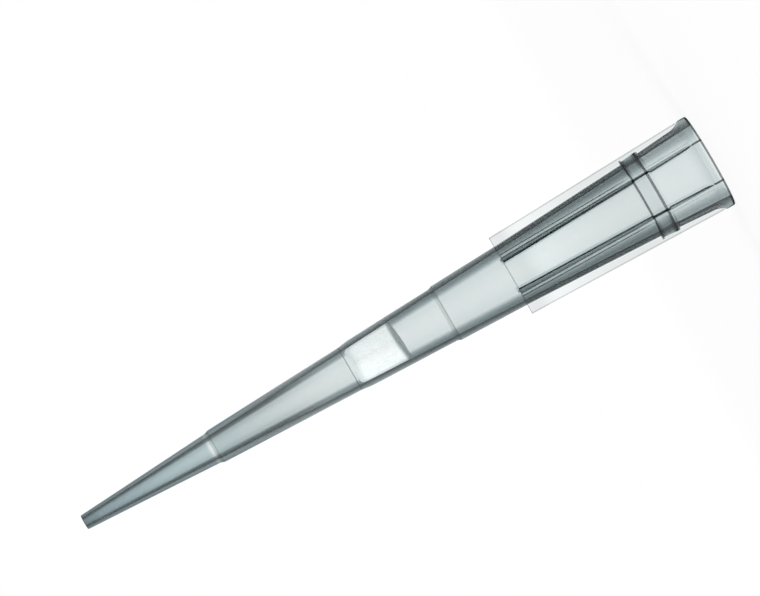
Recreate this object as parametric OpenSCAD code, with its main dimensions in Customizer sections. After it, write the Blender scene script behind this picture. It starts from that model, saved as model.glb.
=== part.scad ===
// Filtered pipette tip for volumes up to 20 microlitres.
// The tip stands on its mouth: the origin is the centre of the mouth rim, +Z runs along the
// axis to the nozzle. One fin lies on +X. Every bore is named with the wall around it, and
// the outside follows from the two.

/* [Lengths] */
// From the mouth rim to the nozzle end
tip_length = 50.5; // [41:0.1:62]
// Socket that the pipette is pressed into, from the rim to the lower end of the fins
socket_length = 16.1; // [13:0.1:20]
// Upper barrel, from the socket to the step above the filter
upper_length = 5.3; // [4:0.1:7]
// Middle barrel, which holds the filter, from that step to the next one
middle_length = 7.65; // [6.2:0.05:9.5]
// Nozzle, from the orifice back to its step
nozzle_length = 10.5; // [7:0.1:13]

/* [Socket] */
// Bore at the mouth rim
mouth_bore_d = 5.6; // [5.2:0.05:6.8]
// Bore of the short straight land that seals on the pipette
land_d = 5; // [4:0.05:5.4]
// Depth of the ring's near edge below the rim
ring_depth = 4.16; // [3:0.02:5.2]
// Length of the ring, which ends level with the land inside it
ring_length = 1.4; // [1:0.05:2]
// Distance of the land's near edge behind the ring's
land_setback = 0.3; // [0.2:0.02:0.6]
// Bore step that leads the pipette into the land, on the radius
land_step = 0.08; // [0.04:0.01:0.15]
// Bore at the lower end of the socket
socket_end_bore_d = 3.94; // [3.5:0.02:4.5]
// Wall of the socket under its collar
mouth_wall = 0.445; // [0.3:0.005:0.6]
// Wall of the socket from the ring down to its lower end
socket_wall = 0.37; // [0.3:0.01:0.6]
// Height of the ring above the socket's outside
ring_rise = 0.17; // [0.1:0.01:0.24]
// Length of the ring's bevel on its mouth side
ring_mouth_bevel = 0.06; // [0.03:0.01:0.4]
// Length of the ring's bevel on its nozzle side
ring_end_bevel = 0.06; // [0.03:0.01:0.4]

/* [Collar and fins] */
// Overhang of the collar beyond the socket's outside under it
collar_overhang = 0.37; // [0.3:0.01:0.5]
// Height of the collar's straight edge
collar_height = 0.64; // [0.4:0.02:1]
// Radius of the hollow curve from the collar's edge down to the socket
collar_fillet = 1.3; // [0.8:0.05:2]
// Number of fins
fin_count = 6; // [3:1:10]
// Thickness of a fin
fin_thickness = 0.33; // [0.2:0.01:0.5]
// Height of a fin above the socket at its lower end
fin_rise = 0.71; // [0.4:0.01:1]
// How far a fin's edge stays inside the collar's edge
fin_setback = 0.03; // [0.02:0.01:0.15]

/* [Barrel] */
// Bore of the upper barrel at its lower end
upper_bore_d = 3.44; // [3.2:0.01:4.2]
// Wall of the upper barrel at its lower end
upper_wall = 0.445; // [0.35:0.005:0.6]
// Bore of the middle barrel at its lower end
middle_bore_d = 2.65; // [2.3:0.01:3]
// Wall of the middle barrel at its lower end
middle_wall = 0.475; // [0.38:0.005:0.6]
// Height of each step on the barrel's outside, on the radius
barrel_step = 0.11; // [0.05:0.01:0.15]

/* [Nozzle] */
// Bore at the nozzle's step
nozzle_bore_d = 1.54; // [1.2:0.02:1.8]
// Wall at the nozzle's step, on the barrel's side
nozzle_wall = 0.49; // [0.4:0.005:0.6]
// Bore at the orifice
orifice_d = 0.56; // [0.3:0.01:0.7]
// Wall at the orifice
orifice_wall = 0.27; // [0.2:0.01:0.35]

/* [Filter] */
// Length of the filter along its axis
filter_length = 3.75; // [2.8:0.05:4.5]
// Distance of the filter's lower end above the middle barrel's lower end
filter_gap = 0.3; // [0.1:0.05:1]
// Slant of the filter's mouth-side face in degrees
filter_slant = 7.5; // [0:0.5:9]
// Direction that this face climbs towards the nozzle, in degrees round the axis from +X
filter_turn = -60; // [-180:30:180]
// Gap between the filter and the bore that it is pressed into, on the radius
filter_clearance = 0.01; // [0:0.005:0.05]
// Chamfer on the filter's lower edge
filter_chamfer = 0.15; // [0.05:0.01:0.3]

/* [Hidden] */
$fn = 96;

// Small edge breaks on the moulding
mouth_chamfer = 0.12;
edge_chamfer = 0.05;
// Length of the cone that leads into the land
lead_cone = 0.12;
// Length of the cone that a step on the outside is spread over
step_cone = 0.3;
// The same for the longer step below the filter
filter_step_cone = 0.75;
// How far a cutting solid runs past the face that it opens
overrun = 0.5;

// Heights along the axis
land_z = ring_depth + land_setback;
lead_z = land_z - lead_cone;
land_end_z = ring_depth + ring_length;
middle_z = socket_length + upper_length;
lower_z = middle_z + middle_length;
nozzle_z = tip_length - nozzle_length;
filter_end_z = lower_z - filter_gap;
filter_top_z = filter_end_z - filter_length;

// Radii of the bore
mouth_bore_r = mouth_bore_d / 2;
land_r = land_d / 2;
lead_r = land_r + land_step;
socket_end_bore_r = socket_end_bore_d / 2;
upper_bore_r = upper_bore_d / 2;
middle_bore_r = middle_bore_d / 2;
nozzle_bore_r = nozzle_bore_d / 2;
orifice_r = orifice_d / 2;

// Radii of the outside at its steps, each on the wider side
upper_r = upper_bore_r + upper_wall;
middle_r = middle_bore_r + middle_wall;
nozzle_r = nozzle_bore_r + nozzle_wall;
orifice_end_r = orifice_r + orifice_wall;

// The socket's outside under the collar, and the collar
fillet_z = collar_height + sqrt(2 * collar_fillet * collar_overhang - pow(collar_overhang, 2));
mouth_wall_r = mix(mouth_bore_r, lead_r, fillet_z / lead_z) + mouth_wall;
ring_end_r = land_r + socket_wall;
socket_end_r = socket_end_bore_r + socket_wall;
collar_r = mouth_wall_r + collar_overhang;

// Value a share of the way from one number to another
function mix(a, b, share) = a + (b - a) * share;

// Outside radius of the socket's upper cone at a height
function upper_cone_r(z) = mix(mouth_wall_r, ring_end_r, (z - fillet_z) / (land_end_z - fillet_z));

// Radius of the middle barrel's bore at a height
function filter_seat_r(z) = mix(upper_bore_r, middle_bore_r, (z - middle_z) / middle_length);

// The bore's outline as radius and height, from the mouth to the orifice
bore_outline = [
    [mouth_bore_r + mouth_chamfer, 0],
    [mouth_bore_r, mouth_chamfer],
    [lead_r, lead_z],
    [land_r, land_z],
    [land_r, land_end_z],
    [socket_end_bore_r, socket_length],
    [upper_bore_r, middle_z],
    [middle_bore_r, lower_z],
    [nozzle_bore_r, nozzle_z],
    [orifice_r, tip_length],
];

// The outside's outline, from the rim to the nozzle, without the fillet, the ring and the fins
outer_outline = [
    [collar_r - edge_chamfer, 0],
    [collar_r, edge_chamfer],
    [collar_r, fillet_z],
    [mouth_wall_r, fillet_z],
    [ring_end_r, land_end_z],
    [socket_end_r, socket_length],
    [upper_r, middle_z - step_cone / 2],
    [upper_r - barrel_step, middle_z + step_cone / 2],
    [middle_r, lower_z - filter_step_cone],
    [middle_r - barrel_step, lower_z],
    [nozzle_r, nozzle_z - step_cone / 2],
    [nozzle_r - barrel_step, nozzle_z + step_cone / 2],
    [orifice_end_r, tip_length - edge_chamfer],
    [orifice_end_r - edge_chamfer, tip_length],
];

// Solid turned outside of the tip
module outside() {
    rotate_extrude()
        difference() {
            polygon(concat([[0, 0]], outer_outline, [[0, tip_length]]));
            translate([mouth_wall_r + collar_fillet, fillet_z]) circle(r = collar_fillet);
        }
}

// Ring round the sealing land, following the socket's cone, with a bevel at both ends
module ring() {
    core_r = land_r + socket_wall / 2;
    mouth_r = upper_cone_r(ring_depth) + ring_rise;
    end_r = ring_end_r + ring_rise;
    rotate_extrude()
        polygon([
            [core_r, ring_depth],
            [mouth_r - ring_rise, ring_depth],
            [mouth_r, ring_depth + ring_mouth_bevel],
            [end_r, land_end_z - ring_end_bevel],
            [ring_end_r, land_end_z],
            [core_r, land_end_z],
        ]);
}

// One fin on +X, from inside the socket's wall out to its edge under the collar
module fin() {
    rotate([90, 0, 0])
        linear_extrude(height = fin_thickness, center = true)
            polygon([
                [mouth_bore_r + socket_wall / 2, collar_height / 2],
                [collar_r - fin_setback, collar_height / 2],
                [collar_r - fin_setback, collar_height],
                [socket_end_r + fin_rise, socket_length],
                [socket_end_bore_r + socket_wall / 2, socket_length],
                [land_r + socket_wall / 2, land_end_z],
            ]);
}

// Everything that the bore takes out of the moulding
module bore() {
    rotate_extrude()
        polygon(concat(
            [[0, -overrun], [mouth_bore_r + mouth_chamfer, -overrun]],
            bore_outline,
            [[orifice_r, tip_length + overrun], [0, tip_length + overrun]]
        ));
}

// The clear polypropylene moulding
module tip_body() {
    color([0.84, 0.89, 0.9, 0.5])
        difference() {
            union() {
                outside();
                ring();
                for (i = [0 : fin_count - 1])
                    rotate([0, 0, i * 360 / fin_count]) fin();
            }
            bore();
        }
}

// The porous filter, pressed into the taper of the middle barrel
module filter_plug() {
    // The filter is turned too long, then its mouth-side face is cut on a slant
    slant_rise = upper_r * tan(filter_slant);
    blank_z = filter_top_z - slant_rise;
    chamfer_z = filter_end_z - filter_chamfer;
    color([0.95, 0.97, 0.98])
        difference() {
            rotate_extrude()
                polygon([
                    [0, blank_z],
                    [filter_seat_r(blank_z) - filter_clearance, blank_z],
                    [filter_seat_r(chamfer_z) - filter_clearance, chamfer_z],
                    [filter_seat_r(filter_end_z) - filter_clearance - filter_chamfer, filter_end_z],
                    [0, filter_end_z],
                ]);
            translate([0, 0, filter_top_z])
                rotate([0, -filter_slant, filter_turn])
                    translate([0, 0, -filter_length])
                        cylinder(h = filter_length, r = 2 * upper_r);
        }
}

tip_body();
filter_plug();
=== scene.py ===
"""A clear filtered pipette tip standing on its mouth, in a plain white studio."""

import math

import bmesh
import bpy
from mathutils import Matrix, Vector


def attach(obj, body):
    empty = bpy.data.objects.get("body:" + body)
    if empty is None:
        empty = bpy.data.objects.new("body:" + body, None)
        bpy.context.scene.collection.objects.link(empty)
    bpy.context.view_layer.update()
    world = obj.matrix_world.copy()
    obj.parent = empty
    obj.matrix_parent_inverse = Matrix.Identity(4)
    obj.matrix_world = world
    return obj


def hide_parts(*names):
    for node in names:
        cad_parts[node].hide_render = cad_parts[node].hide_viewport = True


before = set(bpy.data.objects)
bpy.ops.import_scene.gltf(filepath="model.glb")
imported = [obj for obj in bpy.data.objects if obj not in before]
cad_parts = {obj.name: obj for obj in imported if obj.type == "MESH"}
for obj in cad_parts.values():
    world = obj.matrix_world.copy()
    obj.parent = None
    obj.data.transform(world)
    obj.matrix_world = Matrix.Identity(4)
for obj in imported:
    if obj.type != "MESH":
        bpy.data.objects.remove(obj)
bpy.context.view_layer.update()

MM = 0.001
TURN = 2 * math.pi
scene = bpy.context.scene

# ---------------------------------------------------------------- sizes of the tip, in millimetres

# heights of the steps and ends, from the rim
TIP_LENGTH = 50.5
SOCKET_LENGTH = 16.1
MIDDLE_Z = 21.4  # step above the filter
LOWER_Z = 29.05  # step below the filter
NOZZLE_Z = 40.0

# the bore
MOUTH_BORE_R = 2.8
MOUTH_CHAMFER = 0.12
LEAD_R, LEAD_Z = 2.58, 4.34  # where it starts to close in on the land
LAND_R, LAND_Z = 2.5, 4.46
SOCKET_END_BORE_R = 1.97
UPPER_BORE_R = 1.72
MIDDLE_BORE_R = 1.325
NOZZLE_BORE_R = 0.77
ORIFICE_R = 0.28

# the socket with its collar and ring
MOUTH_WALL = 0.445
SOCKET_WALL = 0.37
EDGE_CHAMFER = 0.05
COLLAR_HEIGHT = 0.64
COLLAR_OVERHANG = 0.37
FILLET_R = 1.3  # hollow curve from the collar's edge to the socket
FILLET_Z = COLLAR_HEIGHT + math.sqrt(2 * FILLET_R * COLLAR_OVERHANG - COLLAR_OVERHANG**2)
RING_Z, RING_END_Z = 4.16, 5.56
RING_END_R = LAND_R + SOCKET_WALL
RING_RISE = 0.17
RING_BEVEL = 0.06
SOCKET_END_R = SOCKET_END_BORE_R + SOCKET_WALL

# the barrel, each radius on the wider side of its step
UPPER_R = 2.165
MIDDLE_R = 1.8
NOZZLE_R = 1.26
ORIFICE_END_R = 0.55
BARREL_STEP = 0.11
STEP_CONE = 0.3  # length that a step is spread over
FILTER_STEP_CONE = 0.75  # the same for the longer step below the filter

# the fins
FIN_COUNT = 6
FIN_THICKNESS = 0.33
FIN_SETBACK = 0.03  # from the collar's edge
FIN_END_R = SOCKET_END_R + 0.71

# the filter
FILTER_TOP_Z, FILTER_END_Z = 25.0, 28.75
FILTER_SPARE = 0.3  # what the slanted cut takes off a plug turned too long
FILTER_SLANT = math.radians(7.5)
FILTER_TURN = math.radians(-60)  # the slanted face climbs this way, from +X
FILTER_CLEARANCE = 0.01
FILTER_CHAMFER = 0.15
# direction square to the filter's slanted face, into the filter
FACE_AXIS = (
    -math.sin(FILTER_SLANT) * math.cos(FILTER_TURN),
    -math.sin(FILTER_SLANT) * math.sin(FILTER_TURN),
    math.cos(FILTER_SLANT),
)

# how far edges are rounded off
RING_ROUND = 0.03
STEP_ROUND = 0.06
LOWER_STEP_END_ROUND, LOWER_STEP_ROUND = 0.05, 0.2
RIM_ROUND = 0.025
LEAD_ROUND = 0.04
LAND_END_ROUND = 0.1
FIN_ROUND = 0.09
FILTER_ROUND = 0.05

# facets round the tip and round the filter, and along the collar's hollow curve
TIP_FACETS = 240
FILTER_FACETS = 96
FILLET_FACETS = 10
SHARP_ANGLE = math.radians(30)
ON_RING = 0.004  # a vertex this near to a turned edge belongs to it


def mix(a, b, share):
    """Value a share of the way from one number to another."""
    return a + (b - a) * share


MOUTH_WALL_R = mix(MOUTH_BORE_R, LEAD_R, FILLET_Z / LEAD_Z) + MOUTH_WALL
COLLAR_R = MOUTH_WALL_R + COLLAR_OVERHANG
FIN_MOUTH_R = COLLAR_R - FIN_SETBACK


def socket_r(z):
    """Outside radius of the socket's upper cone at a height."""
    return mix(MOUTH_WALL_R, RING_END_R, (z - FILLET_Z) / (RING_END_Z - FILLET_Z))


def seat_r(z):
    """Bore radius of the middle barrel at a height."""
    return mix(UPPER_BORE_R, MIDDLE_BORE_R, (z - MIDDLE_Z) / (LOWER_Z - MIDDLE_Z))


# Each outline is radius and height. The bore runs from the mouth to the orifice.
MOUTH = [(MOUTH_BORE_R + MOUTH_CHAMFER, 0), (MOUTH_BORE_R, MOUTH_CHAMFER)]
LEAD = [(LEAD_R, LEAD_Z), (LAND_R, LAND_Z)]
LAND_END = (LAND_R, RING_END_Z)
BORE = [
    *MOUTH,
    *LEAD,
    LAND_END,
    (SOCKET_END_BORE_R, SOCKET_LENGTH),
    (UPPER_BORE_R, MIDDLE_Z),
    (MIDDLE_BORE_R, LOWER_Z),
    (NOZZLE_BORE_R, NOZZLE_Z),
    (ORIFICE_R, TIP_LENGTH),
]
# The outside runs back from the orifice to the ring, and then from the ring to the rim.
NOZZLE_END = [
    (ORIFICE_END_R - EDGE_CHAMFER, TIP_LENGTH),
    (ORIFICE_END_R, TIP_LENGTH - EDGE_CHAMFER),
]
NOZZLE_STEP = [
    (NOZZLE_R - BARREL_STEP, NOZZLE_Z + STEP_CONE / 2),
    (NOZZLE_R, NOZZLE_Z - STEP_CONE / 2),
]
LOWER_STEP = [
    (MIDDLE_R - BARREL_STEP, LOWER_Z),
    (MIDDLE_R, LOWER_Z - FILTER_STEP_CONE),
]
MIDDLE_STEP = [
    (UPPER_R - BARREL_STEP, MIDDLE_Z + STEP_CONE / 2),
    (UPPER_R, MIDDLE_Z - STEP_CONE / 2),
]
RING = [
    (RING_END_R, RING_END_Z),
    (RING_END_R + RING_RISE, RING_END_Z - RING_BEVEL),
    (socket_r(RING_Z) + RING_RISE, RING_Z + RING_BEVEL),
    (socket_r(RING_Z), RING_Z),
]
OUTSIDE = [
    *NOZZLE_END,
    *NOZZLE_STEP,
    *LOWER_STEP,
    *MIDDLE_STEP,
    (SOCKET_END_R, SOCKET_LENGTH),
    *RING,
    (MOUTH_WALL_R, FILLET_Z),
]
COLLAR = [(COLLAR_R, EDGE_CHAMFER), (COLLAR_R - EDGE_CHAMFER, 0)]
# A fin starts in the middle of the wall. The corners run round it from the rim.
FIN = [
    (MOUTH_BORE_R + SOCKET_WALL / 2, COLLAR_HEIGHT / 2),
    (FIN_MOUTH_R, COLLAR_HEIGHT / 2),
    (FIN_MOUTH_R, COLLAR_HEIGHT),
    (FIN_END_R, SOCKET_LENGTH),
    (SOCKET_END_BORE_R + SOCKET_WALL / 2, SOCKET_LENGTH),
    (LAND_R + SOCKET_WALL / 2, RING_END_Z),
]


# ---------------------------------------------------------------- mesh helpers


def chain(bm, points, start=None):
    """Joins points, given as radius and height in mm, by edges in the XZ plane."""
    verts = [start] if start else []
    verts += [bm.verts.new((r * MM, 0, z * MM)) for r, z in points]
    for a, b in zip(verts, verts[1:]):
        bm.edges.new((a, b))
    return verts


def turn_round(bm, facets):
    """Turns the outline in bm once round the axis and closes it."""
    bmesh.ops.spin(
        bm,
        geom=bm.verts[:] + bm.edges[:],
        cent=(0, 0, 0),
        axis=(0, 0, 1),
        angle=TURN,
        steps=facets,
        use_merge=True,
        use_duplicate=False,
    )
    bmesh.ops.remove_doubles(bm, verts=bm.verts[:], dist=1e-7)
    bmesh.ops.recalc_face_normals(bm, faces=bm.faces[:])


def verts_of(geometry):
    """The vertices among what a bmesh operator gives back."""
    return [part for part in geometry if isinstance(part, bmesh.types.BMVert)]


def rings_at(bm, *points):
    """The turned edges at those points, given as radius and height in mm."""
    def there(vert, radius, height):
        r = math.hypot(vert.co.x, vert.co.y) / MM
        return abs(r - radius) < ON_RING and abs(vert.co.z / MM - height) < ON_RING
    return [
        edge for point in points for edge in bm.edges if all(there(v, *point) for v in edge.verts)
    ]


def round_off(bm, edges, size, segments=3):
    """Rounds edges off by a size in mm."""
    bmesh.ops.bevel(
        bm,
        geom=edges,
        offset=size * MM,
        offset_type="OFFSET",
        affect="EDGES",
        segments=segments,
        profile=0.5,
        material=-1,
        clamp_overlap=True,
    )


def make_object(name, bm):
    """Puts a finished bmesh into a new object, smooth but for its sharp edges."""
    mesh = bpy.data.meshes.new(name)
    bm.to_mesh(mesh)
    bm.free()
    mesh.shade_smooth()
    mesh.set_sharp_from_angle(angle=SHARP_ANGLE)
    piece = bpy.data.objects.new(name, mesh)
    scene.collection.objects.link(piece)
    return piece


def apply_modifiers(piece):
    """Bakes the piece's modifiers into its mesh."""
    depsgraph = bpy.context.evaluated_depsgraph_get()
    finished = bpy.data.meshes.new_from_object(piece.evaluated_get(depsgraph))
    piece.modifiers.clear()
    rough = piece.data
    piece.data = finished
    bpy.data.meshes.remove(rough)


# ---------------------------------------------------------------- the clear moulding


def turned_wall():
    """The tip without its fins: outside, rim and bore turned in one."""
    bm = bmesh.new()
    outside = chain(bm, OUTSIDE)
    # the hollow curve from the socket's wall out to the collar
    curve = bmesh.ops.spin(
        bm,
        geom=[outside[-1]],
        cent=((MOUTH_WALL_R + FILLET_R) * MM, 0, FILLET_Z * MM),
        axis=(0, 1, 0),
        angle=-math.acos((FILLET_R - COLLAR_OVERHANG) / FILLET_R),
        steps=FILLET_FACETS,
    )["geom_last"]
    rim = chain(bm, COLLAR + BORE, start=verts_of(curve)[0])
    bm.edges.new((rim[-1], outside[0]))
    turn_round(bm, TIP_FACETS)
    for point in RING:
        round_off(bm, rings_at(bm, point), RING_ROUND)
    for point in NOZZLE_STEP + MIDDLE_STEP:
        round_off(bm, rings_at(bm, point), STEP_ROUND)
    round_off(bm, rings_at(bm, LOWER_STEP[0]), LOWER_STEP_END_ROUND)
    round_off(bm, rings_at(bm, LOWER_STEP[1]), LOWER_STEP_ROUND)
    for point in COLLAR + MOUTH + NOZZLE_END:
        round_off(bm, rings_at(bm, point), RIM_ROUND, 2)
    round_off(bm, rings_at(bm, *LEAD), LEAD_ROUND)
    round_off(bm, rings_at(bm, LAND_END), LAND_END_ROUND)
    bmesh.ops.recalc_face_normals(bm, faces=bm.faces[:])
    return make_object("clear_tip", bm)


def fins():
    """Flat fins from the collar down to the socket's lower end."""
    bm = bmesh.new()
    outline = chain(bm, FIN)
    plate = bm.faces.new(outline)
    bmesh.ops.translate(bm, verts=outline, vec=(0, -FIN_THICKNESS * MM / 2, 0))
    pushed = bmesh.ops.extrude_face_region(bm, geom=[plate])["geom"]
    bmesh.ops.translate(bm, verts=verts_of(pushed), vec=(0, FIN_THICKNESS * MM, 0))
    bmesh.ops.recalc_face_normals(bm, faces=bm.faces[:])

    def stands_clear(edge):
        """Tells the edges that stand clear of the wall and aren't buried in the collar."""
        past_wall = min(v.co.x for v in edge.verts) > RING_END_R * MM
        past_collar = min(v.co.z for v in edge.verts) > 0.75 * COLLAR_HEIGHT * MM
        return past_wall and past_collar

    round_off(bm, [edge for edge in bm.edges if stands_clear(edge)], FIN_ROUND)
    bmesh.ops.spin(
        bm,
        geom=bm.verts[:] + bm.edges[:] + bm.faces[:],
        cent=(0, 0, 0),
        axis=(0, 0, 1),
        angle=TURN * (FIN_COUNT - 1) / FIN_COUNT,
        steps=FIN_COUNT - 1,
        use_merge=False,
        use_duplicate=True,
    )
    bmesh.ops.recalc_face_normals(bm, faces=bm.faces[:])
    return make_object("fins", bm)


def clear_tip():
    """The whole moulding, with the fins grown out of the wall."""
    moulding = turned_wall()
    fin_set = fins()
    union = moulding.modifiers.new("fins", "BOOLEAN")
    union.operation = "UNION"
    union.solver = "EXACT"
    union.object = fin_set
    bpy.context.view_layer.update()
    apply_modifiers(moulding)
    bpy.data.objects.remove(fin_set)
    moulding.data.shade_smooth()
    moulding.data.set_sharp_from_angle(angle=SHARP_ANGLE)
    # the large faces set the shading, so that small rounded edges don't bend it
    weighted = moulding.modifiers.new("straight faces", "WEIGHTED_NORMAL")
    weighted.keep_sharp = True
    apply_modifiers(moulding)
    return moulding


tip = clear_tip()
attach(tip, "root")
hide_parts("tip_body")

# ---------------------------------------------------------------- the filter


def filter_plug():
    """The filter: a turned plug, cut on a slant at its mouth side."""
    bm = bmesh.new()
    blank_z = FILTER_TOP_Z - FILTER_SPARE
    chamfer_z = FILTER_END_Z - FILTER_CHAMFER
    chain(
        bm,
        [
            (0, blank_z),
            (seat_r(blank_z) - FILTER_CLEARANCE, blank_z),
            (seat_r(chamfer_z) - FILTER_CLEARANCE, chamfer_z),
            (seat_r(FILTER_END_Z) - FILTER_CLEARANCE - FILTER_CHAMFER, FILTER_END_Z),
            (0, FILTER_END_Z),
        ],
    )
    turn_round(bm, FILTER_FACETS)
    bmesh.ops.bisect_plane(
        bm,
        geom=bm.verts[:] + bm.edges[:] + bm.faces[:],
        plane_co=(0, 0, FILTER_TOP_Z * MM),
        plane_no=FACE_AXIS,
        clear_inner=True,
    )
    cut = [edge for edge in bm.edges if edge.is_boundary]
    bmesh.ops.holes_fill(bm, edges=cut, sides=0)
    bmesh.ops.recalc_face_normals(bm, faces=bm.faces[:])
    round_off(bm, cut, FILTER_ROUND, 2)
    bmesh.ops.triangulate(bm, faces=[face for face in bm.faces if len(face.verts) > 4])
    return make_object("filter", bm)


plug = filter_plug()
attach(plug, "root")
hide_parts("filter_plug")

# ---------------------------------------------------------------- material helpers


def hex_colour(code):
    """An sRGB hex colour as linear numbers."""
    parts = [int(code[i : i + 2], 16) / 255 for i in (0, 2, 4)]
    linear = [p / 12.92 if p <= 0.04045 else ((p + 0.055) / 1.055) ** 2.4 for p in parts]
    return (*linear, 1.0)


def grey(value):
    """A shade of grey, given as a linear number."""
    return (value, value, value, 1.0)


WHITE = hex_colour("ffffff")


def add(tree, kind, inputs=None, **settings):
    """Adds a node with its settings, and sets or links its inputs."""
    made = tree.nodes.new(kind)
    for name, value in settings.items():
        setattr(made, name, value)
    for key, value in (inputs or {}).items():
        if isinstance(value, bpy.types.NodeSocket):
            tree.links.new(value, made.inputs[key])
        else:
            made.inputs[key].default_value = value
    return made


def set_stops(ramp, stops):
    """Gives a colour ramp its stops, each a position and a hex colour or a grey number."""
    table = ramp.color_ramp.elements
    while len(table) < len(stops):
        table.new(1.0)
    for element, (position, value) in zip(table, stops):
        element.position = position
        element.color = hex_colour(value) if isinstance(value, str) else grey(value)


def new_material(name):
    """An empty material and its node tree."""
    material = bpy.data.materials.new(name)
    material.use_nodes = True
    material.node_tree.nodes.clear()
    return material, material.node_tree


def darkened(tree, colour, *shades):
    """A colour with shades laid over it, one after the other."""
    for shade in shades:
        colour = add(
            tree,
            "ShaderNodeMix",
            {"Factor": 1.0, 6: colour, 7: shade},
            data_type="RGBA",
            blend_type="MULTIPLY",
        ).outputs[2]
    return colour


def kept_to(tree, area, shade):
    """A shade inside an area, and none outside it."""
    return add(
        tree, "ShaderNodeMix", {"Factor": area, 6: WHITE, 7: shade}, data_type="RGBA"
    ).outputs[2]


def overlap(tree, area, *others):
    """The part that several areas have in common."""
    for other in others:
        area = add(tree, "ShaderNodeMath", {0: area, 1: other}, operation="MULTIPLY").outputs[0]
    return area


def along_tip(tree, z, heights, values):
    """A number that changes evenly between two heights in mm, and keeps still past them."""
    return add(
        tree,
        "ShaderNodeMapRange",
        {
            "Value": z,
            "From Min": heights[0] * MM,
            "From Max": heights[1] * MM,
            "To Min": values[0],
            "To Max": values[1],
        },
    ).outputs["Result"]


# ---------------------------------------------------------------- clear polypropylene

IOR = 1.49
SURFACE_BLUR = 0.02  # roughness of a polished wall
GLOSS = 0.04  # share of the light that it mirrors
GLOSS_BLUR = 0.05
DEPTH_COLOUR, DEPTH_DENSITY = "b4c4c6", 400

# Heights in mm that something changes between.
PALE_CONE_END = (4.1, 4.3)  # the wall is painted palest from the rim to the ring's near edge
PAST_RING = (6, 6.2)  # the ring and the collar are left behind here
FIN_CORNERS_START = (RING_END_Z, 7)
# the painted shade on the nozzle comes in between these
NOZZLE_SHADE_START = (31, 35)
PALE_BAND_Z = NOZZLE_Z + 0.1  # a paler band at the nozzle's step

# Tint of one surface of the wall at a height: the plastic's own faint tint, with painted shade that
# darkens it towards the nozzle.
WALL_TINTS = [
    (0, "fdfefe"),
    (PALE_CONE_END[0], "fdfefe"),
    (PALE_CONE_END[1], "fbfcfc"),
    (30, "fbfcfc"),
    (33, "f9fafa"),
    (36, "f5f7f7"),
    (39, "f1f4f5"),
    (PALE_BAND_Z - 0.2, "f0f4f4"),
    (PALE_BAND_Z - 0.1, "ffffff"),
    (PALE_BAND_Z + 0.25, "ffffff"),
    (PALE_BAND_Z + 0.35, "f1f5f6"),
    (44, "ecf1f2"),
    (49, "e0e6e8"),
    (TIP_LENGTH, "d2dadc"),
]

# Painted shades by how slanted the eye meets a face, from 0, square on, to 1, along it.
PALEST_SIDE = "fafbfb"
SIDE_SHADES = [
    (0.0, PALEST_SIDE),
    (0.25, "f2f5f5"),
    (0.4, "aab3b5"),
    (0.55, "9da7a9"),
    (0.7, "a9b2b4"),
    (1.0, "e0e6e8"),
]
# painted shade on the nozzle, by the same slant
NOZZLE_EDGE_SHADES = [
    (0.0, 1.0),
    (0.03, 0.95),
    (0.07, 0.85),
    (0.12, 0.85),
    (0.17, 0.67),
    (0.22, 0.39),
    (0.28, 0.39),
    (0.34, 0.73),
    (0.4, 1.0),
    (0.7, 1.0),
    (1.0, 0.4),
]
# painted shade on the fins' flanks, by the same slant
FLANK_SHADES = [(0.0, 0.94), (0.3, 0.9), (0.5, 1.0), (1.0, 0.8)]
# Shares by the same slant: light that an inner face throws back, and lamp light let through.
THROWN_BACK = [
    (0.0, 0.02),
    (0.25, 0.03),
    (0.38, 0.7),
    (0.5, 1.0),
    (0.65, 1.0),
    (0.8, 0.85),
    (1.0, 0.5),
]
LET_THROUGH = [(0.0, 0.99), (0.4, 0.92), (1.0, 0.1)]

# Painted shades of a bevel or step by its tilt, from 0, upright, to 1, flat.
SLOPE_SHADES = [(0.08, 1.0), (0.3, 0.85), (0.5, 0.4), (0.85, 0.4), (1.0, 0.8)]
SOCKET_SLOPES = 0.3  # share of that tilt that tells on the ring and on the collar's hollow curve
SOCKET_LEAN = 0.1  # share of their tilt that light goes in by
LEVEL_LEAN = 0.1  # share of any face's tilt that light comes out by

# Painted dark lines of shade round the tip, each as height and half width in mm and as shade.
STEP_SHADE_LINES = [
    (0.03, 0.12, 0.33),  # the rim's edge
    (SOCKET_LENGTH, 0.04, 0.6),
    (MIDDLE_Z - 0.1, 0.04, 0.7),
    (LOWER_Z, 0.04, 0.55),
    (NOZZLE_Z - 0.1, 0.04, 0.78),
]
RING_LINES = [(RING_END_Z - 0.03, 0.08, 0.3), (RING_Z + 0.28, 0.1, 0.3)]
BROAD_RING_LINES = [(RING_END_Z - 0.1, 0.15, 0.6), (RING_Z + 0.36, 0.18, 0.6)]
BROADENING = (0.12, 0.3)  # slants between which a ring line broadens
RING_WALL_R, RING_WALL_BAND = 2.9, 0.25  # middle and half width of the wall that carries them

# The fins, in mm. The wave is 1 along the middle of a fin: 0.98 at 2 degrees off, 0.95 at 3.
FIN_FOOT = 0.02  # a fin starts this far out from the wall
FIN_EDGE_START = (0.22, 0.28)  # the edge's shade comes in between these, above the ring
FIN_START_Z = COLLAR_HEIGHT + 0.21
FIN_BORDER = 0.1
FIN_BORDER_SHADE = 0.75
FIN_CORNER_SHADES = [(0.982, 0.15), (0.99, 0.8)]
SIDE_ON = 0.25  # a face that turns outwards by less than this is a flank
UPRIGHT = 0.3  # and a flank turns to the nozzle by less than this
# painted dark lines of shade across the collar
COLLAR_LINE_WAVE, COLLAR_LINE_BAND = 0.932, 0.045
COLLAR_LINE_END_Z = COLLAR_HEIGHT + 0.1  # a painted line of shade runs up to here
COLLAR_LINE_FACING = 0.2  # and it lies where the face turns outwards by more than this
COLLAR_LINE_SHADE = 0.15


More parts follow.
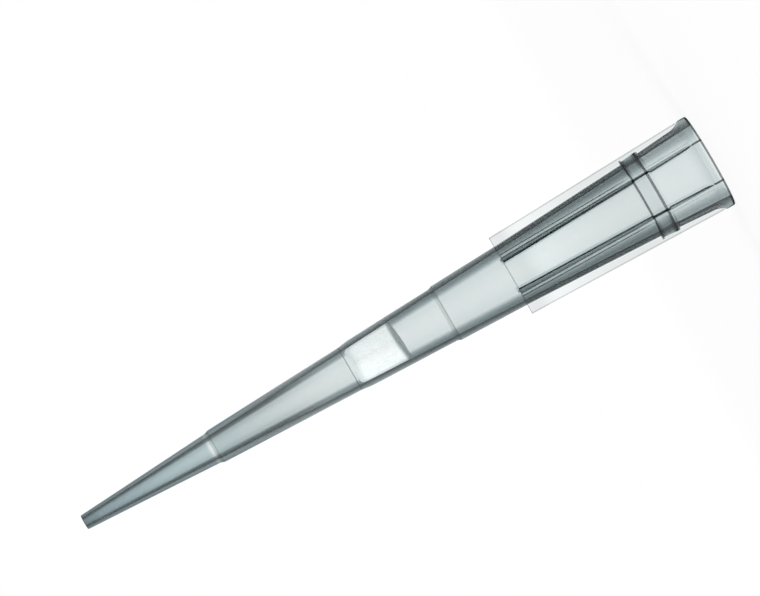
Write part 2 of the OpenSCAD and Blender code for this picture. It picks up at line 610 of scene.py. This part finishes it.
def straightened(tree, direction, lean):
    """A face's direction with its tilt along the axis scaled by the last number of lean."""
    scaled = add(
        tree, "ShaderNodeVectorMath", {0: direction, 1: lean}, operation="MULTIPLY"
    ).outputs["Vector"]
    return add(tree, "ShaderNodeVectorMath", {0: scaled}, operation="NORMALIZE").outputs["Vector"]


def place_on_tip(tree):
    """Where a point lies on the moulding, and which way its face turns, by name."""
    coordinates = add(tree, "ShaderNodeTexCoord").outputs
    spot = add(tree, "ShaderNodeSeparateXYZ", {0: coordinates["Object"]}).outputs
    flat = add(
        tree,
        "ShaderNodeVectorMath",
        {0: coordinates["Object"], 1: (1, 1, 0)},
        operation="MULTIPLY",
    ).outputs["Vector"]
    radius = add(tree, "ShaderNodeVectorMath", {0: flat}, operation="LENGTH").outputs["Value"]
    # 0 on the parting plane, which runs through +X and -X, and 1 on the -Y and +Y sides
    sideways = add(tree, "ShaderNodeMath", {0: spot["Y"]}, operation="ABSOLUTE").outputs[0]
    sideways = add(tree, "ShaderNodeMath", {0: sideways, 1: radius}, operation="DIVIDE").outputs[0]
    # 1 along the middle of each fin, and less to both sides
    angle = add(tree, "ShaderNodeMath", {0: spot["Y"], 1: spot["X"]}, operation="ARCTAN2").outputs[0]
    fin_angle = add(
        tree, "ShaderNodeMath", {0: angle, 1: FIN_COUNT}, operation="MULTIPLY"
    ).outputs[0]
    fin_wave = add(tree, "ShaderNodeMath", {0: fin_angle}, operation="COSINE").outputs[0]
    # how far the face turns outwards, and how far it turns to the nozzle
    outwards = add(tree, "ShaderNodeVectorMath", {0: flat}, operation="NORMALIZE").outputs["Vector"]
    faces_out = add(
        tree,
        "ShaderNodeVectorMath",
        {0: coordinates["Normal"], 1: outwards},
        operation="DOT_PRODUCT",
    ).outputs["Value"]
    outside = add(
        tree, "ShaderNodeMath", {0: faces_out, 1: 0.0}, operation="GREATER_THAN"
    ).outputs[0]
    faces_up = add(tree, "ShaderNodeSeparateXYZ", {0: coordinates["Normal"]}).outputs["Z"]
    return {
        "z": spot["Z"],
        "radius": radius,
        "sideways": sideways,
        "fin_wave": fin_wave,
        "direction": coordinates["Normal"],
        "faces_out": faces_out,
        "outside": outside,
        "faces_up": faces_up,
    }


def slant_round_axis(tree, level_slant):
    """How slanted the eye meets the wall, round the axis only, as for a tip seen level."""
    axis = add(tree, "ShaderNodeCombineXYZ", {"Z": 1.0}).outputs[0]
    steep = add(
        tree, "ShaderNodeLayerWeight", {"Blend": 0.5, "Normal": axis}
    ).outputs["Facing"]
    along = add(tree, "ShaderNodeMath", {0: 1.0, 1: steep}, operation="SUBTRACT").outputs[0]
    across = add(tree, "ShaderNodeMath", {0: along, 1: along}, operation="MULTIPLY").outputs[0]
    across = add(tree, "ShaderNodeMath", {0: 1.0, 1: across}, operation="SUBTRACT").outputs[0]
    across = add(tree, "ShaderNodeMath", {0: across}, operation="SQRT").outputs[0]
    towards = add(tree, "ShaderNodeMath", {0: 1.0, 1: level_slant}, operation="SUBTRACT").outputs[0]
    towards = add(
        tree, "ShaderNodeMath", {0: towards, 1: across}, operation="DIVIDE", use_clamp=True
    ).outputs[0]
    return add(tree, "ShaderNodeMath", {0: 1.0, 1: towards}, operation="SUBTRACT").outputs[0]


def height_tint(tree, at):
    """Faint tint of one surface of the wall, with painted shade that darkens it towards the nozzle.
    """
    height = along_tip(tree, at["z"], (0, TIP_LENGTH), (0.0, 1.0))
    tint = add(tree, "ShaderNodeValToRGB", {"Fac": height})
    set_stops(tint, [(z / TIP_LENGTH, code) for z, code in WALL_TINTS])
    return tint.outputs["Color"]


def side_shade(tree, at, slant):
    """Painted shade where the eye meets the wall aslant, as if the light there came from a darker
    place beside the tip.
    """
    shade = add(tree, "ShaderNodeValToRGB", {"Fac": slant})
    set_stops(shade, SIDE_SHADES)
    # the short cone between the collar and the ring is painted lighter at its sides
    lighter = along_tip(tree, at["z"], PALE_CONE_END, (0.35, 0.0))
    return add(
        tree,
        "ShaderNodeMix",
        {"Factor": lighter, 6: shade.outputs["Color"], 7: hex_colour(PALEST_SIDE)},
        data_type="RGBA",
    ).outputs[2]


def slope_shade(tree, at):
    """Painted shade on bevels and steps of the outside, by how far they are tilted, where they bend
    the light away.
    """
    weight = along_tip(tree, at["z"], PAST_RING, (SOCKET_SLOPES, 1.0))
    tilt = overlap(tree, at["faces_up"], at["outside"], weight)
    slope = add(tree, "ShaderNodeValToRGB", {"Fac": tilt})
    set_stops(slope, SLOPE_SHADES)
    return slope.outputs["Color"]


def bands(tree, at, rows):
    """Painted dark lines of shade right round the tip."""
    shade = WHITE
    for height, half_width, depth in rows:
        band = add(
            tree,
            "ShaderNodeMath",
            {0: at["z"], 1: height * MM, 2: half_width * MM},
            operation="COMPARE",
        ).outputs[0]
        shade = darkened(tree, shade, kept_to(tree, band, grey(depth)))
    return shade


def step_shade_lines(tree, at):
    """Painted dark hairlines of shade round the outside, at the rim's edge and at the socket's end
    and the barrel's steps.
    """
    return kept_to(tree, at["outside"], bands(tree, at, STEP_SHADE_LINES))


def ring_lines(tree, at, slant):
    """Painted shade: one dark line at each end of the ring, broader at the sides of the tip."""
    at_side = add(
        tree,
        "ShaderNodeMapRange",
        {"Value": slant, "From Min": BROADENING[0], "From Max": BROADENING[1]},
    ).outputs["Result"]
    broad = kept_to(tree, at_side, bands(tree, at, BROAD_RING_LINES))
    lines = darkened(tree, bands(tree, at, RING_LINES), broad)
    on_wall = add(
        tree,
        "ShaderNodeMath",
        {0: at["radius"], 1: RING_WALL_R * MM, 2: RING_WALL_BAND * MM},
        operation="COMPARE",
    ).outputs[0]
    # the painted lines carry on across the four fins that stand clear of the parting plane
    past_wall = add(
        tree,
        "ShaderNodeMath",
        {0: at["radius"], 1: (RING_WALL_R + RING_WALL_BAND) * MM},
        operation="GREATER_THAN",
    ).outputs[0]
    off_plane = add(
        tree,
        "ShaderNodeMath",
        {0: at["sideways"], 1: math.sin(TURN / FIN_COUNT / 2)},
        operation="GREATER_THAN",
    ).outputs[0]
    on_fin = overlap(tree, past_wall, off_plane)
    on_ring = add(tree, "ShaderNodeMath", {0: on_wall, 1: on_fin}, operation="MAXIMUM").outputs[0]
    return kept_to(tree, on_ring, lines)


def fin_shade(tree, at, slant):
    """Painted shade on the fins: dark lines along their narrow edges, and their flanks shaded by how
    slanted the eye meets them.
    """
    wall_r = along_tip(
        tree, at["z"], (FILLET_Z, SOCKET_LENGTH), (MOUTH_WALL_R * MM, SOCKET_END_R * MM)
    )
    edge_r = along_tip(
        tree, at["z"], (COLLAR_HEIGHT, SOCKET_LENGTH), (FIN_MOUTH_R * MM, FIN_END_R * MM)
    )
    rise = add(
        tree, "ShaderNodeMath", {0: at["radius"], 1: wall_r}, operation="SUBTRACT"
    ).outputs[0]
    depth = add(
        tree, "ShaderNodeMath", {0: edge_r, 1: at["radius"]}, operation="SUBTRACT"
    ).outputs[0]
    on_fin = add(
        tree, "ShaderNodeMath", {0: rise, 1: FIN_FOOT * MM}, operation="GREATER_THAN"
    ).outputs[0]
    past_ring = add(
        tree,
        "ShaderNodeMapRange",
        {"Value": rise, "From Min": FIN_EDGE_START[0] * MM, "From Max": FIN_EDGE_START[1] * MM},
    ).outputs["Result"]
    past_collar = add(
        tree, "ShaderNodeMath", {0: at["z"], 1: FIN_START_Z * MM}, operation="GREATER_THAN"
    ).outputs[0]

    # a darker line of painted shade runs along each rounded corner of the edge, from the ring to the
    # fin's end
    faces_out = add(
        tree, "ShaderNodeMath", {0: at["faces_out"], 1: SIDE_ON}, operation="GREATER_THAN"
    ).outputs[0]
    strength = along_tip(tree, at["z"], FIN_CORNERS_START, (0.2, 1.0))
    on_edge = overlap(tree, past_ring, faces_out, past_collar, strength)
    corners = add(tree, "ShaderNodeValToRGB", {"Fac": at["fin_wave"]})
    set_stops(corners, FIN_CORNER_SHADES)
    edge = kept_to(tree, on_edge, corners.outputs["Color"])

    # painted shade: a flank is a little darker along its border
    faces_side = add(
        tree, "ShaderNodeMath", {0: at["faces_out"], 1: 0.0, 2: SIDE_ON}, operation="COMPARE"
    ).outputs[0]
    is_upright = add(
        tree, "ShaderNodeMath", {0: at["faces_up"], 1: 0.0, 2: UPRIGHT}, operation="COMPARE"
    ).outputs[0]
    on_flank = overlap(tree, on_fin, faces_side, is_upright)
    near_edge = add(
        tree, "ShaderNodeMath", {0: depth, 1: FIN_BORDER * MM}, operation="LESS_THAN"
    ).outputs[0]
    on_border = overlap(tree, on_flank, near_edge, past_collar)
    border = kept_to(tree, on_border, grey(FIN_BORDER_SHADE))
    flank = add(tree, "ShaderNodeValToRGB", {"Fac": slant})
    set_stops(flank, FLANK_SHADES)
    return darkened(tree, edge, border, kept_to(tree, on_flank, flank.outputs["Color"]))


def collar_lines(tree, at):
    """Painted dark lines of shade across the collar, where the fins' flanks run into it.

    They are painted only on the -Y and +Y sides, between the fins there.
    """
    on_line = add(
        tree,
        "ShaderNodeMath",
        {0: at["fin_wave"], 1: COLLAR_LINE_WAVE, 2: COLLAR_LINE_BAND},
        operation="COMPARE",
    ).outputs[0]
    on_collar = add(
        tree, "ShaderNodeMath", {0: at["z"], 1: COLLAR_LINE_END_Z * MM}, operation="LESS_THAN"
    ).outputs[0]
    faces_out = add(
        tree,
        "ShaderNodeMath",
        {0: at["faces_out"], 1: COLLAR_LINE_FACING},
        operation="GREATER_THAN",
    ).outputs[0]
    between_fins = add(
        tree,
        "ShaderNodeMath",
        {0: at["sideways"], 1: math.sin(TURN / FIN_COUNT)},
        operation="GREATER_THAN",
    ).outputs[0]
    lines = overlap(tree, on_line, on_collar, faces_out, between_fins)
    return kept_to(tree, lines, grey(COLLAR_LINE_SHADE))


def nozzle_edge_shade(tree, at, slant):
    """Painted shade on the nozzle, darkest a little inside its edges."""
    nozzle_shade = add(tree, "ShaderNodeValToRGB", {"Fac": slant})
    set_stops(nozzle_shade, NOZZLE_EDGE_SHADES)
    shaded_nozzle = overlap(tree, along_tip(tree, at["z"], NOZZLE_SHADE_START, (0.0, 1.0)), at["outside"])
    return kept_to(tree, shaded_nozzle, nozzle_shade.outputs["Color"])


def clear_polypropylene():
    """Clear moulded polypropylene: thin polished walls, with painted grey-blue shade where the eye
    looks along them.
    """
    material, tree = new_material("clear moulded polypropylene")
    at = place_on_tip(tree)
    # how slanted the eye meets a face, from 0, square on, to 1, along it
    slant = add(tree, "ShaderNodeLayerWeight", {"Blend": 0.5}).outputs["Facing"]
    # the same, for a face that stands nearly upright in place of its bevel or step
    level = straightened(tree, at["direction"], (1, 1, LEVEL_LEAN))
    level_slant = add(
        tree, "ShaderNodeLayerWeight", {"Blend": 0.5, "Normal": level}
    ).outputs["Facing"]
    round_slant = slant_round_axis(tree, level_slant)

    tint = height_tint(tree, at)
    colour = darkened(
        tree,
        tint,
        side_shade(tree, at, round_slant),
        slope_shade(tree, at),
        step_shade_lines(tree, at),
        ring_lines(tree, at, round_slant),
        fin_shade(tree, at, slant),
        collar_lines(tree, at),
        nozzle_edge_shade(tree, at, round_slant),
    )

    # on the socket light goes in as through gentler curves than the collar's and the ring's
    lean = along_tip(tree, at["z"], PAST_RING, (SOCKET_LEAN, 1.0))
    lean = add(tree, "ShaderNodeCombineXYZ", {"X": 1.0, "Y": 1.0, "Z": lean}).outputs[0]
    calm = straightened(tree, at["direction"], lean)
    enter = add(
        tree,
        "ShaderNodeBsdfRefraction",
        {"Color": colour, "Roughness": SURFACE_BLUR, "IOR": IOR, "Normal": calm},
    )
    shine = add(tree, "ShaderNodeBsdfAnisotropic", {"Color": WHITE, "Roughness": GLOSS_BLUR})
    front = add(
        tree, "ShaderNodeMixShader", {"Fac": GLOSS, 1: enter.outputs[0], 2: shine.outputs[0]}
    )
    # the steps on the far side don't show, so light leaves as from a face without them
    leave = add(
        tree,
        "ShaderNodeBsdfRefraction",
        {"Color": tint, "Roughness": SURFACE_BLUR, "IOR": IOR, "Normal": level},
    )
    mirror = add(tree, "ShaderNodeBsdfAnisotropic", {"Color": tint, "Roughness": SURFACE_BLUR})
    thrown_back = add(tree, "ShaderNodeValToRGB", {"Fac": level_slant})
    set_stops(thrown_back, THROWN_BACK)
    back = add(
        tree,
        "ShaderNodeMixShader",
        {"Fac": thrown_back.outputs[0], 1: leave.outputs[0], 2: mirror.outputs[0]},
    )
    inside = add(tree, "ShaderNodeNewGeometry").outputs["Backfacing"]
    wall = add(
        tree, "ShaderNodeMixShader", {"Fac": inside, 1: front.outputs[0], 2: back.outputs[0]}
    )
    # the lamps shine through the thin wall on to the filter and the floor
    shadow = add(tree, "ShaderNodeValToRGB", {"Fac": slant})
    set_stops(shadow, LET_THROUGH)
    through = add(tree, "ShaderNodeBsdfTransparent", {"Color": shadow.outputs["Color"]})
    lamp_light = add(tree, "ShaderNodeLightPath").outputs["Is Shadow Ray"]
    surface = add(
        tree,
        "ShaderNodeMixShader",
        {"Fac": lamp_light, 1: wall.outputs[0], 2: through.outputs[0]},
    )
    depth = add(
        tree,
        "ShaderNodeVolumeAbsorption",
        {"Color": hex_colour(DEPTH_COLOUR), "Density": DEPTH_DENSITY},
    )
    add(
        tree,
        "ShaderNodeOutputMaterial",
        {"Surface": surface.outputs[0], "Volume": depth.outputs[0]},
    )
    return material


# ---------------------------------------------------------------- porous polyethylene

# Sizes in mm.
GRAIN = 0.12  # fused grains
PORE_DEPTH = 0.03
PATCH = 0.5  # paler and darker patches
CUT_SHADE_WIDTH = 0.5  # length over which the painted shade at the cut's edge fades out
GREY_END = 0.6  # length over which painted shade greys the end towards the nozzle


def porous_polyethylene():
    """Sintered porous polyethylene: white, dull, made of fused grains about 0.12 mm across."""
    material, tree = new_material("sintered porous polyethylene")
    place = add(tree, "ShaderNodeTexCoord").outputs["Object"]
    z = add(tree, "ShaderNodeSeparateXYZ", {0: place}).outputs["Z"]
    mottle = add(tree, "ShaderNodeTexNoise", {"Vector": place, "Scale": 1 / (PATCH * MM)})
    patches = add(tree, "ShaderNodeValToRGB", {"Fac": mottle.outputs["Fac"]})
    set_stops(patches, [(0.3, "f8f5f5"), (0.7, "fdf9f9")])
    grains = add(tree, "ShaderNodeTexVoronoi", {"Vector": place, "Scale": 1 / (GRAIN * MM)})
    pores = add(tree, "ShaderNodeValToRGB", {"Fac": grains.outputs["Distance"]})
    set_stops(pores, [(0.0, "ffffff"), (0.5, "fafafa"), (0.9, "eef1f1")])
    # painted shade: a grey band along the edge of the slanted face
    from_mouth = add(
        tree, "ShaderNodeVectorMath", {0: place, 1: FACE_AXIS}, operation="DOT_PRODUCT"
    ).outputs["Value"]
    face = FILTER_TOP_Z * math.cos(FILTER_SLANT)
    rim = add(
        tree,
        "ShaderNodeValToRGB",
        {"Fac": along_tip(tree, from_mouth, (face, face + CUT_SHADE_WIDTH), (0.0, 1.0))},
    )
    set_stops(
        rim,
        [
            (0.0, "cdd4d4"),
            (0.03, "cdd4d4"),
            (0.07, "939d9e"),
            (0.2, "9aa4a5"),
            (0.35, "d5dada"),
            (0.6, "ffffff"),
        ],
    )
    # painted shade greys the other end, towards the nozzle
    foot = add(
        tree,
        "ShaderNodeValToRGB",
        {"Fac": along_tip(tree, z, (FILTER_END_Z - GREY_END, FILTER_END_Z), (0.0, 1.0))},
    )
    set_stops(foot, [(0.0, "ffffff"), (0.35, "f6f8f8"), (1.0, "d6dddd")])
    colour = darkened(
        tree,
        patches.outputs["Color"],
        pores.outputs["Color"],
        rim.outputs["Color"],
        foot.outputs["Color"],
    )
    relief = add(
        tree,
        "ShaderNodeBump",
        {"Height": grains.outputs["Distance"], "Strength": 0.4, "Distance": PORE_DEPTH * MM},
        invert=True,
    )
    skin = add(
        tree,
        "ShaderNodeBsdfPrincipled",
        {"Base Color": colour, "Roughness": 0.9, "IOR": 1.5, "Normal": relief.outputs["Normal"]},
    )
    add(tree, "ShaderNodeOutputMaterial", {"Surface": skin.outputs[0]})
    return material


for piece, finish in ((tip, clear_polypropylene()), (plug, porous_polyethylene())):
    piece.data.materials.clear()
    piece.data.materials.append(finish)

# ---------------------------------------------------------------- studio, in metres

FLOOR_R = 6
# the lamps light the paper near the tip, and its own glow makes up for them further off
GLOW_START, GLOW_END = 0.15, 0.8
GLOW_NEAR, GLOW_FAR = 0.78, 0.98
# name, place, size, and power in watts
LAMPS = [
    ("key lamp", (-0.35, -0.35, 0.3), 0.4, 4.4),
    ("fill lamp", (0.4, -0.2, 0.25), 0.5, 3.3),
    ("back lamp", (0.0, 0.45, 0.3), 0.5, 3.3),
]


def seen_by_eye(tree):
    """1 where the eye meets a surface, straight, in a reflection or through the clear wall."""
    path = add(tree, "ShaderNodeLightPath").outputs
    straight = add(
        tree,
        "ShaderNodeMath",
        {0: path["Is Camera Ray"], 1: path["Is Glossy Ray"]},
        operation="MAXIMUM",
    ).outputs[0]
    return add(
        tree, "ShaderNodeMath", {0: straight, 1: path["Is Transmission Ray"]}, operation="MAXIMUM"
    ).outputs[0]


def white_paper():
    """A white sheet of paper, bright enough to be plain white, that still takes a soft shadow."""
    material, tree = new_material("white paper")
    spot = add(tree, "ShaderNodeTexCoord").outputs["Object"]
    away = add(tree, "ShaderNodeVectorMath", {0: spot}, operation="LENGTH").outputs["Value"]
    share = add(
        tree,
        "ShaderNodeMapRange",
        {
            "Value": away,
            "From Min": GLOW_START,
            "From Max": GLOW_END,
            "To Min": GLOW_NEAR,
            "To Max": GLOW_FAR,
        },
    ).outputs["Result"]
    strength = overlap(tree, seen_by_eye(tree), share)
    paper = add(tree, "ShaderNodeBsdfDiffuse", {"Color": hex_colour("5a5a5a")})
    glow = add(tree, "ShaderNodeEmission", {"Color": WHITE, "Strength": strength})
    lit = add(tree, "ShaderNodeAddShader", {0: paper.outputs[0], 1: glow.outputs[0]})
    # seen from below, the paper is left out
    below = add(tree, "ShaderNodeNewGeometry").outputs["Backfacing"]
    clear = add(tree, "ShaderNodeBsdfTransparent")
    sheet = add(
        tree, "ShaderNodeMixShader", {"Fac": below, 1: lit.outputs[0], 2: clear.outputs[0]}
    )
    add(tree, "ShaderNodeOutputMaterial", {"Surface": sheet.outputs[0]})
    return material


def make_floor():
    """A wide round floor of paper under the tip."""
    bm = bmesh.new()
    bmesh.ops.create_circle(bm, cap_ends=True, segments=96, radius=FLOOR_R)
    bmesh.ops.recalc_face_normals(bm, faces=bm.faces[:])
    floor = make_object("floor", bm)
    floor.data.materials.append(white_paper())


def make_room():
    """A white room: pale to whatever it lights, plain white where it is seen."""
    world = bpy.data.worlds.new("studio")
    scene.world = world
    world.use_nodes = True
    tree = world.node_tree
    tree.nodes.clear()
    strength = add(
        tree, "ShaderNodeMapRange", {"Value": seen_by_eye(tree), "To Min": 0.45, "To Max": 1.0}
    ).outputs["Result"]
    sky = add(tree, "ShaderNodeBackground", {"Color": WHITE, "Strength": strength})
    add(tree, "ShaderNodeOutputWorld", {"Surface": sky.outputs[0]})


def add_lamp(name, place, size, power):
    """A soft square lamp that faces the middle of the tip and leaves no glint on it."""
    data = bpy.data.lights.new(name, "AREA")
    data.shape = "SQUARE"
    data.size = size
    data.energy = power
    lamp = bpy.data.objects.new(name, data)
    lamp.visible_glossy = False
    lamp.visible_transmission = False
    scene.collection.objects.link(lamp)
    middle = Vector((0, 0, TIP_LENGTH / 2 * MM))
    towards = (middle - Vector(place)).to_track_quat("-Z", "Y").to_matrix().to_4x4()
    lamp.matrix_world = Matrix.Translation(place) @ towards


def add_camera():
    """A long lens that looks along +Y, rolled so that the nozzle points down to the left."""
    data = bpy.data.cameras.new("camera")
    data.lens = 264.4
    data.sensor_width = 36
    data.clip_start = 0.01
    data.clip_end = 20
    camera = bpy.data.objects.new("camera", data)
    scene.collection.objects.link(camera)
    right = Vector((-0.5009, 0, -0.8655))
    up = Vector((0.8655, 0, -0.5009))
    away = Vector((0, -1, 0))
    turned = Matrix((right, up, away)).transposed().to_4x4()
    camera.matrix_world = Matrix.Translation((0.00323, -0.39, 0.02477)) @ turned
    scene.camera = camera


make_floor()
make_room()
for lamp_row in LAMPS:
    add_lamp(*lamp_row)
add_camera()
scene.view_settings.view_transform = "Standard"

bpy.context.view_layer.update()
